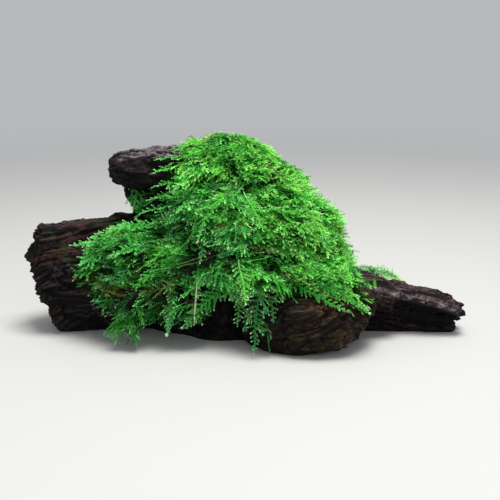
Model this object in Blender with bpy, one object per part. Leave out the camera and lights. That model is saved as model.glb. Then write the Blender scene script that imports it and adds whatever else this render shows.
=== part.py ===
"""Aquarium moss growing on a piece of driftwood, modelled at its real size.

+X is to the right, +Y is away from someone who looks at the front, and +Z is up. The wood rests on
z = 0, and the origin is on the sawn underside of its trunk. The driftwood is one grown shape, made
first and then parted at its main forks. The moss grows on it in clumps. Each clump here is a plain
closed solid that reaches the tips of its shoots.
"""

import math

import bmesh
import bpy
import numpy as np
from mathutils import Matrix, Vector, noise

MM = 0.001
# Neighbouring solids keep this gap, and moss keeps a wider one from the wood, where its roots hold.
FORK_GAP = 0.3 * MM
CLUMP_GAP = 0.5 * MM
ROOT_GAP = 1.0 * MM

# The wood. A limb is a row of stations along its middle line. Each station is its place x, y, z and
# its half sizes across and along the limb's flat side, all in millimetres.
TRUNK = [
    (-6, 7, -8, 48, 27),
    (-7, 7, 10, 45, 25),
    (-9, 7, 25, 43, 22),
    (-13, 7, 42, 44, 20),
    (-20, 6, 58, 40, 18),
    (-29, 5, 69, 31, 15),
    (-33, 4, 77, 27, 12),
    (-34, 4, 83, 23, 9),
]
UPPER_STUB = [(-30, 3, 80, 15, 9), (-44, 2, 80.5, 15, 9), (-56, 0, 81, 14, 8), (-69, -3, 81.5, 9, 4.5)]
LEFT_ROOT = [
    (-24, 6, 30, 22, 24),
    (-46, 5, 30, 21, 27),
    (-64, 3, 27, 19, 30),
    (-80, 1, 27, 18, 27),
    (-94, -1, 22, 16, 28),
    (-104, -3, 18, 12, 22),
]
# The right arm is a worn plank on a narrower web, which leaves a lip along its front.
ARM_PLANK = [
    (18, 0, 25, 20, 6),
    (44, -2, 22.5, 19, 6),
    (62, -4, 19, 18, 5.5),
    (80, -6, 16, 15, 5),
    (94, -8, 13, 12, 5),
    (105, -10, 9, 8, 5),
]
ARM_WEB = [
    (18, 6, 10, 19, 16),
    (44, 5, 8, 15, 16),
    (62, 4, 6, 13, 14),
    (80, 2, 3, 11, 12),
    (94, -1, 1, 9, 10),
    (102, -3, -2, 7, 9),
]
FRONT_BURL = [(2, -20, 10, 12, 11), (15, -27, 13, 18, 16), (32, -30, 15, 20, 18), (46, -28, 19.5, 15, 12),
              (57, -26, 23, 6, 5)]

# How boxy a limb's section is: 2 is an ellipse, and more is nearer to a plank.
ROUND, PLANK = 2.2, 3.4
RING_POINTS = 40
RINGS_PER_LIMB = 30
# Flutes run along the grain, so their noise changes fast round a limb and slowly from ring to ring.
# Knots are broader. Depths are shares of the limb's radius, and so is the dome on a limb's end.
FLUTE_DEPTH, FLUTES_ROUND, FLUTES_ALONG = 0.16, 2.1, 0.11
KNOT_DEPTH, KNOTS_ROUND, KNOTS_ALONG = 0.10, 0.9, 0.30
TRUNK_FLUTES, ROOT_FLUTES = 1.5, 1.3
END_DOME = 0.25
WOOD_VOXEL = 1.9 * MM
WOOD_FACES = 3400
WOOD_WEAR, MOSS_WEAR = 2, 3

# The boxes that part the wood at its forks: centre, size and turn about Z in degrees.
FORKS = {
    "driftwood_upper_stub": ((-76, 0, 84), (60, 80, 28), -8),
    "driftwood_left_root": ((-104, 0, 25), (100, 90, 72), 6),
    "driftwood_front_burl": ((27, -50, 18), (78, 60, 50), -4),
    "driftwood_right_arm": ((88, -4, 20), (84, 70, 60), -6),
}

# What lies under z = 0 is sawn away by a block, given in millimetres.
FLOOR_CENTRE, FLOOR_SIZE = (0, 0, -50), (400, 300, 100)

# The moss. A clump is made of lobes, each with its centre and half sizes, and of trails, which are
# hanging shoots given as stations like a limb's.
MOSS_CLUMPS = {
    "moss_crown": {
        "lobes": [
            ((-21, 2, 82), (18, 26, 14)),
            ((-3, 3, 80), (20, 28, 15)),
            ((12, 3, 66), (20, 28, 14)),
            ((-34, -7, 75), (14, 18, 9)),
        ],
        "trails": [
            [(-27, -6, 87, 7, 6), (-27, -7, 93, 4, 4), (-27, -8, 97, 2.5, 2.5)],
            [(-17, 3, 88, 9, 8), (-16.5, 4, 94, 6, 5), (-16, 4, 97.5, 3.5, 3)],
        ],
    },
    "moss_right_shoulder": {
        "lobes": [
            ((27, 1, 51), (19, 28, 16)),
            ((34, -3, 38), (16, 28, 16)),
            ((20, -15, 50), (22, 22, 21)),
        ],
        "trails": [],
    },
    "moss_front_face": {
        "lobes": [
            ((-28, -15, 62), (20, 17, 16)),
            ((-9, -19, 54), (24, 19, 20)),
            ((-22, -21, 40), (28, 17, 16)),
        ],
        "trails": [[(-44, -8, 66, 8, 6), (-51, -12, 63, 7, 5), (-56, -15, 60, 3, 3)]],
    },
    "moss_left_cushion": {
        "lobes": [
            ((-52, -15, 39), (24, 20, 14)),
            ((-63, -15, 41), (17, 18, 11)),
            ((-52, -22, 26), (25, 17, 15)),
            ((-34, -27, 24), (18, 14, 14)),
        ],
        "trails": [[(-72, -16, 37, 10, 7), (-80, -19, 33, 7, 5), (-86, -21, 28, 3, 3)]],
    },
    "moss_front_skirt": {
        "lobes": [
            ((5, -29, 33), (21, 16, 13)),
            ((25, -31, 32), (22, 15, 10)),
            ((40, -29, 31), (14, 16, 10)),
        ],
        "trails": [[(41, -35, 34, 9, 7), (49, -40, 29, 7, 6), (54, -43, 22, 3, 3)]],
    },
    "moss_front_tail": {
        "lobes": [],
        "trails": [[(3, -42, 26, 12, 7), (4, -44, 17, 9, 6), (6, -45, 8, 6, 4), (6, -45, 2.5, 3, 2.5)]],
    },
    "moss_left_trail": {
        "lobes": [],
        "trails": [[(-56, -32, 17, 10, 7), (-59, -36, 9, 9, 6), (-61, -39, 4, 7, 4)]],
    },
    "moss_back_drape": {
        "lobes": [
            ((0, 25, 65), (24, 13, 19)),
            ((-26, 22, 60), (20, 12, 18)),
            ((16, 25, 48), (17, 12, 17)),
        ],
        "trails": [],
    },
    "moss_arm_tuft": {
        "lobes": [((63, 13, 22.5), (9, 6, 5)), ((72, 11, 19.5), (7, 5, 4))],
        "trails": [],
    },
}
# A trail's flat side faces this way, back to the wood that it hangs on.
TRAIL_FACES = (0.2, 1, 0.3)
MOSS_VOXEL, TRAIL_VOXEL = 3.0 * MM, 1.5 * MM
MOSS_FACES_PER_MM2 = 0.058
CUTTER_VOXEL, CUTTER_FACES = 2.7 * MM, 2000
TUFT_HEIGHT = 2.2 * MM
TUFT_SPACING = 9.0 * MM

CREASE_ANGLE = 40
WET_WOOD_COLOUR = (0.060, 0.036, 0.030, 1.0)
MOSS_COLOUR = (0.075, 0.300, 0.040, 1.0)


def clear_scene():
    for old in list(bpy.data.objects):
        bpy.data.objects.remove(old, do_unlink=True)


def finish_of(name, colour, roughness):
    """A Principled material for the wood or the moss."""
    material = bpy.data.materials.new(name)
    material.use_nodes = True
    shader = material.node_tree.nodes["Principled BSDF"]
    shader.inputs["Base Color"].default_value = colour
    shader.inputs["Roughness"].default_value = roughness
    shader.inputs["Metallic"].default_value = 0.0
    return material


def object_from(name, shape):
    """A new object in the scene from a bmesh, which is freed."""
    mesh = bpy.data.meshes.new(name)
    bmesh.ops.recalc_face_normals(shape, faces=shape.faces)
    shape.to_mesh(mesh)
    shape.free()
    made = bpy.data.objects.new(name, mesh)
    bpy.context.scene.collection.objects.link(made)
    return made


def applied(thing):
    """The object with its modifiers made part of its mesh."""
    bpy.context.view_layer.update()
    graph = bpy.context.evaluated_depsgraph_get()
    mesh = bpy.data.meshes.new_from_object(thing.evaluated_get(graph))
    thing.modifiers.clear()
    thing.data = mesh
    return thing


def along(stations, count):
    """Rows of x, y, z and two half sizes in metres, read evenly from a smooth curve through stations."""
    knots = np.array(stations, float) * MM
    ends = [2 * knots[0] - knots[1], *knots, 2 * knots[-1] - knots[-2]]
    rows = []
    for step in np.linspace(0, len(knots) - 1, count):
        first = min(int(step), len(knots) - 2)
        t = step - first
        a, b, c, d = ends[first : first + 4]
        bend = (2 * a - 5 * b + 4 * c - d) * t**2 + (3 * b - a - 3 * c + d) * t**3
        rows.append(b + 0.5 * ((c - a) * t + bend))
    return np.array(rows)


def ring_axes(tangent, flat):
    """The two directions of a ring round a limb that runs along tangent, with its flat side facing flat."""
    across = flat.cross(tangent).normalized()
    return across, tangent.cross(across).normalized()


def section_radius(angle, boxiness):
    """Radius of a unit superellipse at this angle."""
    sides = abs(math.cos(angle)) ** boxiness + abs(math.sin(angle)) ** boxiness
    return sides ** (-1 / boxiness)


def relief(angle, ring, seed):
    """How far the wood stands out or lies back here, as a share of the limb's radius."""
    round_limb = Vector((math.cos(angle), math.sin(angle), 0))
    flute = noise.noise(FLUTES_ROUND * round_limb + Vector((0, 0, FLUTES_ALONG * ring + seed)))
    knot = noise.noise(KNOTS_ROUND * round_limb + Vector((0, 0, KNOTS_ALONG * ring - seed)))
    return FLUTE_DEPTH * flute + KNOT_DEPTH * knot


def add_limb(shape, stations, flat=(0, 0, 1), boxiness=ROUND, gnarl=1.0, seed=0.0):
    """Adds a closed, gnarled tube through the stations, with worn round ends, to a bmesh."""
    rows = along(stations, RINGS_PER_LIMB)
    places = [Vector(row[:3]) for row in rows]
    rings = []
    for i, row in enumerate(rows):
        tangent = (places[min(i + 1, len(rows) - 1)] - places[max(i - 1, 0)]).normalized()
        across, up = ring_axes(tangent, Vector(flat))
        ring = []
        for k in range(RING_POINTS):
            angle = 2 * math.pi * k / RING_POINTS
            radius = (1 + gnarl * relief(angle, i, seed)) * section_radius(angle, boxiness)
            side = across * (row[3] * radius * math.cos(angle))
            rise = up * (row[4] * radius * math.sin(angle))
            ring.append(shape.verts.new(places[i] + side + rise))
        rings.append(ring)
    for ring, after in zip(rings, rings[1:]):
        for k in range(RING_POINTS):
            after_k = (k + 1) % RING_POINTS
            shape.faces.new((ring[k], ring[after_k], after[after_k], after[k]))
    for ring, place, inward in ((rings[0], places[0], places[1]), (rings[-1], places[-1], places[-2])):
        dome = END_DOME * (ring[0].co - place).length
        centre = shape.verts.new(place + (place - inward).normalized() * dome)
        for k in range(RING_POINTS):
            shape.faces.new((ring[k], ring[(k + 1) % RING_POINTS], centre))


def grown_together(name, shape, voxel, wear):
    """One closed object from the overlapping closed shapes in a bmesh, worn smooth in this many steps."""
    made = object_from(name, shape)
    remesh = made.modifiers.new("Grow together", "REMESH")
    remesh.mode = "VOXEL"
    remesh.voxel_size = voxel
    smooth = made.modifiers.new("Wear", "SMOOTH")
    smooth.factor = 0.5
    smooth.iterations = wear
    return applied(made)


def thinned(thing, faces):
    """The object with about this many triangles."""
    thing.data.calc_loop_triangles()
    decimate = thing.modifiers.new("Thin", "DECIMATE")
    decimate.ratio = min(1.0, faces / len(thing.data.loop_triangles))
    decimate.use_collapse_triangulate = True
    return applied(thing)


def swollen(thing, by, name):
    """A hidden copy of the object whose surface lies outside it by this much, to cut neighbours with."""
    copy = thing.copy()
    copy.data = thing.data.copy()
    copy.name = name
    bpy.context.scene.collection.objects.link(copy)
    for vertex, normal in zip(copy.data.vertices, [v.normal.copy() for v in copy.data.vertices]):
        vertex.co += normal * by
    return hidden(copy)


def hidden(thing):
    thing.hide_render = True
    thing.display_type = "WIRE"
    return thing


def cutter_box(name, centre, size, turn):
    """A hidden box, given in millimetres and turned by so many degrees about Z."""
    shape = bmesh.new()
    place = Matrix.Translation(Vector(centre) * MM) @ Matrix.Rotation(math.radians(turn), 4, "Z")
    bmesh.ops.create_cube(shape, size=1, matrix=place @ Matrix.Diagonal((*(Vector(size) * MM), 1)))
    return hidden(object_from(name, shape))


def boolean(thing, operation, other):
    cut = thing.modifiers.new("Boolean", "BOOLEAN")
    cut.operation = operation
    cut.object = other
    cut.solver = "EXACT"
    return applied(thing)


def copy_of(thing, name):
    copy = thing.copy()
    copy.data = thing.data.copy()
    copy.name = name
    bpy.context.scene.collection.objects.link(copy)
    return copy


def largest_part_only(thing):
    """Removes the crumbs that a cut leaves beside the main body."""
    shape = bmesh.new()
    shape.from_mesh(thing.data)
    left, parts = set(shape.verts), []
    while left:
        reached, edge_of_reach = set(), [left.pop()]
        while edge_of_reach:
            vertex = edge_of_reach.pop()
            reached.add(vertex)
            for edge in vertex.link_edges:
                other = edge.other_vert(vertex)
                if other in left:
                    left.discard(other)
                    edge_of_reach.append(other)
        parts.append(reached)
    main = max(parts, key=len)
    bmesh.ops.delete(shape, geom=[v for part in parts if part is not main for v in part], context="VERTS")
    shape.to_mesh(thing.data)
    shape.free()
    return thing


def make_driftwood():
    """The whole piece of wood as one solid, sawn flat where it rests."""
    shape = bmesh.new()
    add_limb(shape, TRUNK, flat=(0, -1, 0), gnarl=TRUNK_FLUTES, seed=3.0)
    add_limb(shape, UPPER_STUB, boxiness=PLANK, seed=11.0)
    add_limb(shape, LEFT_ROOT, gnarl=ROOT_FLUTES, seed=23.0)
    add_limb(shape, ARM_PLANK, boxiness=PLANK, seed=31.0)
    add_limb(shape, ARM_WEB, seed=37.0)
    add_limb(shape, FRONT_BURL, seed=43.0)
    wood = grown_together("driftwood_whole", shape, WOOD_VOXEL, WOOD_WEAR)
    thinned(wood, WOOD_FACES)
    boolean(wood, "DIFFERENCE", cutter_box("floor", FLOOR_CENTRE, FLOOR_SIZE, 0))
    return hidden(wood)


def part_at_forks(wood, material):
    """The driftwood's nodes: what lies in each fork's box, and the trunk, which is the rest."""
    nodes = []
    trunk = copy_of(wood, "driftwood_trunk")
    earlier = []
    for name, (centre, size, turn) in FORKS.items():
        limb = boolean(copy_of(wood, name), "INTERSECT", cutter_box("fork", centre, size, turn))
        wide = [side + 2 * FORK_GAP / MM for side in size]
        saw = cutter_box("saw", centre, wide, turn)
        for cut in earlier:
            boolean(limb, "DIFFERENCE", cut)
        boolean(trunk, "DIFFERENCE", saw)
        earlier.append(saw)
        nodes.append(largest_part_only(limb))
    nodes.append(largest_part_only(trunk))
    for node in nodes:
        shown(node, material)
    return nodes


def shown(thing, material):
    thing.hide_render = False
    thing.display_type = "SOLID"
    thing.data.materials.clear()
    thing.data.materials.append(material)
    thing.data.shade_smooth()
    thing.data.set_sharp_from_angle(angle=math.radians(CREASE_ANGLE))


def add_lobe(shape, centre, half_sizes):
    place = Matrix.Translation(Vector(centre) * MM) @ Matrix.Diagonal((*(Vector(half_sizes) * MM), 1))
    bmesh.ops.create_icosphere(shape, subdivisions=4, radius=1, matrix=place)


def tufted(thing, seed):
    """Raises the clump's surface into soft tufts."""
    normals = [v.normal.copy() for v in thing.data.vertices]
    for vertex, normal in zip(thing.data.vertices, normals):
        tuft = noise.noise(vertex.co / TUFT_SPACING + Vector((seed, 0, 0)))
        vertex.co += normal * (TUFT_HEIGHT * tuft)
    return thing


def surface_mm2(thing):
    return sum(face.area for face in thing.data.polygons) / MM**2


def make_clump(name, lobes, trails, seed):
    """A clump's full form, before it is cut to the wood and to its neighbours."""
    shape = bmesh.new()
    for centre, half_sizes in lobes:
        add_lobe(shape, centre, half_sizes)
    for stations in trails:
        add_limb(shape, stations, flat=TRAIL_FACES, gnarl=0)
    clump = grown_together(name, shape, MOSS_VOXEL if lobes else TRAIL_VOXEL, MOSS_WEAR)
    if lobes:
        tufted(clump, seed)
    return thinned(clump, MOSS_FACES_PER_MM2 * surface_mm2(clump))


def make_moss(wood, material):
    """Every clump, cut clear of the wood, of the ground and of the clumps made before it."""
    hold = swollen(wood, ROOT_GAP, "wood_with_gap")
    remesh = hold.modifiers.new("Even out", "REMESH")
    remesh.voxel_size = CUTTER_VOXEL
    thinned(applied(hold), CUTTER_FACES)
    floor = cutter_box("floor", FLOOR_CENTRE, FLOOR_SIZE, 0)
    cutters = [hold, floor]
    nodes = []
    for count, (name, form) in enumerate(MOSS_CLUMPS.items()):
        clump = make_clump(name, form["lobes"], form["trails"], 7.0 * count)
        own_cutter = swollen(clump, CLUMP_GAP, name + "_cutter")
        for cutter in cutters:
            boolean(clump, "DIFFERENCE", cutter)
        nodes.append(largest_part_only(clump))
        cutters.append(own_cutter)
        shown(clump, material)
    return nodes


def main():
    clear_scene()
    wood_finish = finish_of("wet_driftwood", WET_WOOD_COLOUR, 0.55)
    moss_finish = finish_of("green_moss", MOSS_COLOUR, 0.60)
    wood = make_driftwood()
    part_at_forks(wood, wood_finish)
    make_moss(wood, moss_finish)


main()
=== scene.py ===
"""Aquarium moss on driftwood: the finish of the wood and every shoot of the moss."""

import math

import bmesh
import bpy
import numpy as np
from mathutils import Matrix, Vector, noise
from mathutils.bvhtree import BVHTree
from mathutils.kdtree import KDTree


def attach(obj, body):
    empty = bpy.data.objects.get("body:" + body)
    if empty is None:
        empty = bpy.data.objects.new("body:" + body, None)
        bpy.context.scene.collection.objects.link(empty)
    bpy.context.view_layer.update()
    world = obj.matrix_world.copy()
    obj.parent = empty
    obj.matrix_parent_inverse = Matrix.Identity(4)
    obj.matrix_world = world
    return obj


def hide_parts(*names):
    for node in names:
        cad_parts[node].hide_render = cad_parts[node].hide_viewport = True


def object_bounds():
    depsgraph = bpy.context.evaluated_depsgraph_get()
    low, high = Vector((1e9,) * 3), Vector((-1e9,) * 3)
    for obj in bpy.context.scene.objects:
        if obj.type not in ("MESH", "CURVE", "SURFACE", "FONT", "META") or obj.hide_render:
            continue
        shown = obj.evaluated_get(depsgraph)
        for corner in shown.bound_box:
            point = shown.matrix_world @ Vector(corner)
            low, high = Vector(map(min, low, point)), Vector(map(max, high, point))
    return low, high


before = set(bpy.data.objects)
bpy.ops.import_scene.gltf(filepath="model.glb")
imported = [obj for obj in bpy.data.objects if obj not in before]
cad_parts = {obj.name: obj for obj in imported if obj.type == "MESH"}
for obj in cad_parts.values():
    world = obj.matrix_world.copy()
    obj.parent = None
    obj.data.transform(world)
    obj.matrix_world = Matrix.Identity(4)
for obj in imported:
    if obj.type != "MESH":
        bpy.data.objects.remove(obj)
cad_low, cad_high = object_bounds()
MM = 0.001
scene = bpy.context.scene
scene.view_settings.view_transform = "Standard"


# The studio is a plain pale floor that fades into a plain pale world. One wide soft lamp hangs over
# the piece, like the lamp over a tank, and a weaker one fills the front. The camera looks a little down
# on the front, from where the photograph was taken.
FLOOR_SIZE = 40.0
FLOOR_COLOUR = (0.56, 0.56, 0.55, 1)
AIR_COLOUR = (0.95, 0.97, 1.0, 1)
AIR_STRENGTH = 0.5
FLOOR_FADE_START = 0.2
FLOOR_FADE_END = 1.1
MIDDLE = Vector((0, 0, 40 * MM))
# Each lamp: its place and its size in metres, its power in watts, and its colour.
LAMPS = {
    "tank_lamp": ((0.08, -0.14, 0.75), 0.36, 7.0, (1.0, 0.99, 0.95)),
    "front_fill": ((0.25, -0.85, 0.35), 0.6, 1.5, (0.97, 0.98, 1.0)),
}
CAMERA_DISTANCE = 450 * MM
CAMERA_RISE = math.radians(14)
CAMERA_LENS = 64.8
CAMERA_SENSOR = 36
CAMERA_NEAR = 10 * MM


class Nodes:
    """Shader nodes of one tree, added and linked by short calls."""

    def __init__(self, tree):
        self.tree = tree

    def fill(self, node, **inputs):
        """Sets the node's sockets, whose names have _ here for a space."""
        for name, value in inputs.items():
            self.set(node, name.replace("_", " "), value)
        return node

    def add(self, kind, **inputs):
        return self.fill(self.tree.nodes.new(kind), **inputs)

    def set(self, node, socket, value):
        """Links the value to a socket, given by its name or number, or sets the socket to it."""
        target = node.inputs[socket]
        if isinstance(value, bpy.types.NodeSocket):
            self.tree.links.new(value, target)
        else:
            target.default_value = value

    def mark(self, name):
        """What the mesh's attribute of this name holds."""
        made = self.add("ShaderNodeAttribute")
        made.attribute_name = name
        return made.outputs

    def noise(self, place, scale, detail=4.0, roughness=0.55):
        made = self.add("ShaderNodeTexNoise", Vector=place, Scale=scale, Detail=detail, Roughness=roughness)
        return made.outputs[0]

    def ramp(self, value, stops):
        """A colour ramp with (position, colour) stops."""
        made = self.add("ShaderNodeValToRGB", Fac=value)
        elements = made.color_ramp.elements
        for position, _ in stops[2:]:
            elements.new(position)
        for element, (position, colour) in zip(elements, stops):
            element.position = position
            element.color = (*colour, 1)
        return made.outputs[0]

    def math(self, operation, first, second):
        made = self.add("ShaderNodeMath")
        made.operation = operation
        self.set(made, 0, first)
        self.set(made, 1, second)
        return made.outputs[0]

    def step(self, value, low, high, kind="SMOOTHSTEP"):
        """From 0 at low to 1 at high, which may be the lower one."""
        made = self.add("ShaderNodeMapRange", Value=value, From_Min=low, From_Max=high)
        made.interpolation_type = kind
        return made.outputs[0]

    def both(self, *masks):
        """The product of several masks, of which some may be (value, low, high) steps."""
        first, *others = [self.step(*mask) if isinstance(mask, tuple) else mask for mask in masks]
        for other in others:
            first = self.math("MULTIPLY", first, other)
        return first

    def cover(self, under, colour, *masks):
        """The colour laid over what is under it, as far as all the masks let it."""
        made = self.add("ShaderNodeMix")
        made.data_type = "RGBA"
        self.set(made, 0, self.both(*masks))
        self.set(made, 6, under)
        self.set(made, 7, colour)
        return made.outputs[2]

    def bump(self, height, strength, distance):
        made = self.add("ShaderNodeBump", Height=height, Strength=strength, Distance=distance)
        return made.outputs[0]


def new_material(name):
    """A material, its nodes, and its Principled shader."""
    material = bpy.data.materials.new(name)
    material.use_nodes = True
    return material, Nodes(material.node_tree), material.node_tree.nodes["Principled BSDF"]


def floor_finish():
    """Matt and pale. Far from the piece it glows as the air does, so that no horizon shows."""
    material, n, shader = new_material("pale_floor")
    n.fill(shader, Base_Color=FLOOR_COLOUR, Roughness=0.9, Specular_IOR_Level=0.1)
    distance = n.add("ShaderNodeVectorMath")
    distance.operation = "LENGTH"
    n.set(distance, 0, n.add("ShaderNodeTexCoord").outputs["Object"])
    glow = n.add("ShaderNodeEmission", Color=AIR_COLOUR, Strength=AIR_STRENGTH)
    blend = n.add("ShaderNodeMixShader")
    n.set(blend, 0, n.step(distance.outputs["Value"], FLOOR_FADE_START, FLOOR_FADE_END, "SMOOTHERSTEP"))
    n.set(blend, 1, shader.outputs[0])
    n.set(blend, 2, glow.outputs[0])
    n.set(material.node_tree.nodes["Material Output"], "Surface", blend.outputs[0])
    return material


def turned_to_middle(place):
    """The rotation of a lamp or camera at this place that looks at the middle of the piece."""
    return (MIDDLE - Vector(place)).to_track_quat("-Z", "Y").to_euler()


bpy.ops.object.select_all(action="DESELECT")
bpy.ops.mesh.primitive_plane_add(size=FLOOR_SIZE, location=(0, 0, cad_low.z))
floor = bpy.context.object
floor.name = "studio_floor"
floor.data.materials.append(floor_finish())

world = bpy.data.worlds.new("studio_air")
world.use_nodes = True
air = Nodes(world.node_tree)
air.fill(world.node_tree.nodes["Background"], Color=AIR_COLOUR, Strength=AIR_STRENGTH)
scene.world = world

for name, (place, size, power, colour) in LAMPS.items():
    bpy.ops.object.light_add(type="AREA", location=place)
    lamp = bpy.context.object
    lamp.name = name
    lamp.data.size = size
    lamp.data.energy = power
    lamp.data.color = colour
    lamp.rotation_euler = turned_to_middle(place)

camera_place = MIDDLE + CAMERA_DISTANCE * Vector((0, -math.cos(CAMERA_RISE), math.sin(CAMERA_RISE)))
bpy.ops.object.camera_add(location=camera_place)
camera = bpy.context.object
camera.name = "studio_camera"
camera.rotation_euler = turned_to_middle(camera_place)
camera.data.lens = CAMERA_LENS
camera.data.sensor_width = CAMERA_SENSOR
camera.data.clip_start = CAMERA_NEAR
scene.camera = camera


# The driftwood is one grown piece of dark, waterlogged root wood. Years in water have worn it down
# to ridges and fissures along its grain, so it is carved here along the grain of each limb. One skin
# covers all of it, across the forks where the solids part.
WOOD_NODES = {
    # Each limb: its grain's direction, and how deep its fissures, ledges and pits are in millimetres.
    "driftwood_trunk": ((-0.3, 0.05, 1.0), 1.2, 0.7, 0.55),
    "driftwood_upper_stub": ((-1.0, -0.1, 0.05), 1.0, 0.9, 0.6),
    "driftwood_left_root": ((-1.0, -0.06, -0.22), 1.5, 1.0, 0.35),
    "driftwood_front_burl": ((1.0, -0.12, 0.36), 1.6, 1.8, 0.7),
    "driftwood_right_arm": ((1.0, -0.1, -0.26), 2.0, 1.4, 0.25),
}
# Where three of the limbs stand in that list.
TRUNK, UPPER_STUB, RIGHT_ARM = 0, 1, 4
# Each broken end: how long its splinters are, and how far in from the tip they start, in millimetres.
BROKEN_ENDS = {
    "driftwood_upper_stub": (3.0, 8.0),
    "driftwood_left_root": (4.0, 11.0),
    "driftwood_right_arm": (4.0, 10.0),
}
WOOD_SWELL = 0.35 * MM
WOOD_SKIN_VOXEL = 0.79 * MM
WOOD_SKIN_SMOOTHING = 3
LIMB_BLEND = 8 * MM
# Towards the top the trunk's grain fades out, and the stub's grain runs on over it.
TRUNK_GRAIN_FADE = (76 * MM, 82 * MM)
STUB_GRAIN_FADE = (80 * MM, 84 * MM)
# How often each kind of relief changes in a millimetre, along the grain and across it.
FLUTES, FISSURES, CRACKS = (0.022, 0.13), (0.022, 0.3), (0.04, 0.75)
LAYERS, BUNDLES, STRANDS = (0.028, 0.16), (0.02, 0.24), (0.04, 0.6)
# A ledge rises slowly over this share of a layer's width, and drops over the rest.
LEDGE_RISE = 0.86
# The worn lip along the front of the arm: x, y, z in millimetres. The wood below it is hollowed out.
LIP = np.array([
    (50, -15, 26), (61, -16, 24), (71, -16.5, 21.5), (78, -17, 20), (88, -18.3, 18), (105, -18, 12.5),
])
LIP_START = (48 * MM, 56 * MM)
LIP_THICKNESS, HOLLOW_DEPTH, LIP_OVERHANG = 1.6, 5.5, 8.0


def rows_of(items, name, kind=np.float32):
    """The three numbers of this name of each mesh item, as rows of an array."""
    rows = np.empty(len(items) * 3, kind)
    items.foreach_get(name, rows)
    return rows.reshape(-1, 3)


def mesh_arrays(mesh):
    """The vertices and triangles of a mesh as arrays."""
    mesh.calc_loop_triangles()
    return rows_of(mesh.vertices, "co").astype(float), rows_of(mesh.loop_triangles, "vertices", np.int32)


def shape_of(node):
    """The vertices and triangles of a CAD node as arrays."""
    return mesh_arrays(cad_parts[node].data)


def placed(name, mesh):
    """A new object in the scene with this mesh."""
    made = bpy.data.objects.new(name, mesh)
    scene.collection.objects.link(made)
    return made


def welded_copy(nodes, name, swell=0.0):
    """One object with copies of these CAD nodes' meshes, each welded and moved out by swell."""
    joined = bmesh.new()
    for node in nodes:
        single = bmesh.new()
        single.from_mesh(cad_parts[node].data)
        bmesh.ops.remove_doubles(single, verts=single.verts, dist=0.02 * MM)
        single.normal_update()
        for vertex in single.verts:
            vertex.co += vertex.normal * swell
        mesh = bpy.data.meshes.new("single")
        single.to_mesh(mesh)
        single.free()
        joined.from_mesh(mesh)
        bpy.data.meshes.remove(mesh)
    mesh = bpy.data.meshes.new(name)
    joined.to_mesh(mesh)
    joined.free()
    return placed(name, mesh)


def remeshed(thing, voxel, smoothing):
    """The object with one closed even skin over its shapes."""
    remesh = thing.modifiers.new("skin", "REMESH")
    remesh.mode = "VOXEL"
    remesh.voxel_size = voxel
    smooth = thing.modifiers.new("wear", "SMOOTH")
    smooth.iterations = smoothing
    bpy.ops.object.select_all(action="DESELECT")
    thing.select_set(True)
    bpy.context.view_layer.objects.active = thing
    for modifier in list(thing.modifiers):
        bpy.ops.object.modifier_apply(modifier=modifier.name)
    return thing


def places_and_normals(thing):
    vertices = thing.data.vertices
    return rows_of(vertices, "co").astype(float), rows_of(vertices, "normal").astype(float)


def smooth_step(low, high, value):
    """From 0 at low to 1 at high."""
    t = np.clip((value - low) / (high - low), 0, 1)
    return t * t * (3 - 2 * t)


def noise_at(points):
    """Noise from -1 to 1 at each row of points."""
    return np.array([noise.noise(point) for point in points.tolist()])


def lumps_at(points, size, offset=0.0):
    """Noise at points in metres, with lumps of this size in millimetres."""
    return noise_at(points / (np.array(size) * MM) + offset)


def along_grain(grain, changes, offset):
    """Noise on a limb's grain, with changes of this many a millimetre along and across it."""
    along, across = changes
    return noise_at(grain * (along, across, across) + offset)


def limb_shares(places):
    """How far each point follows each limb's grain: a row for each limb, which sum to 1."""
    shares = []
    for node in WOOD_NODES:
        corners = shape_of(node)[0]
        near = KDTree(len(corners))
        for i, corner in enumerate(corners):
            near.insert(corner, i)
        near.balance()
        reach = np.array([near.find(place)[2] for place in places])
        shares.append(np.exp(-((reach / LIMB_BLEND) ** 2)))
    shares = np.array(shares)
    shares[TRUNK] *= 1 - smooth_step(*TRUNK_GRAIN_FADE, places[:, 2])
    shares[UPPER_STUB] += smooth_step(*STUB_GRAIN_FADE, places[:, 2])
    return shares / shares.sum(0)


def grain_at(places, direction, number):
    """Places in millimetres along the grain and two ways across it, and those three axes as rows."""
    along = Vector(direction).normalized()
    across = along.cross(Vector((0.2, 1, 0.1))).normalized()
    axes = np.array([along, across, along.cross(across)])
    grain = places @ axes.T / MM
    # A slow wander keeps the fissures from running straight.
    grain[:, 1] += 2.5 * lumps_at(places, 17, number)
    grain[:, 2] += 0.8 * lumps_at(places, 6, number + 5)
    return grain, axes


def relief(places, grain, number, fissure_depth, ledge_depth, pit_depth):
    """How far the wood stands out in millimetres, and how near it is to a crest: about 1 there."""
    flutes = 1 - 2 * np.abs(along_grain(grain, FLUTES, 7 * number))
    fissures = np.abs(along_grain(grain, FISSURES, 13 * number))
    cracks = np.abs(along_grain(grain, CRACKS, 29 * number))
    layers = 3.0 * along_grain(grain, LAYERS, 51 * number)
    rise = layers - np.floor(layers)
    ledges = np.where(rise > LEDGE_RISE, (1 - rise) / (1 - LEDGE_RISE), rise / LEDGE_RISE)
    pits = lumps_at(places, 2.3, 3 * number)
    depth = flutes - fissure_depth * (1 - smooth_step(0.0, 0.13, fissures))
    depth -= 0.5 * (1 - smooth_step(0.0, 0.2, cracks))
    depth += ledge_depth * (ledges - 0.5) + pit_depth * pits
    crest = (0.42 + 0.2 * flutes + 0.38 * ledges + 0.2 * pits) * smooth_step(0.0, 0.24, fissures)
    return depth, crest * smooth_step(-0.02, 0.22, cracks)


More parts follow.
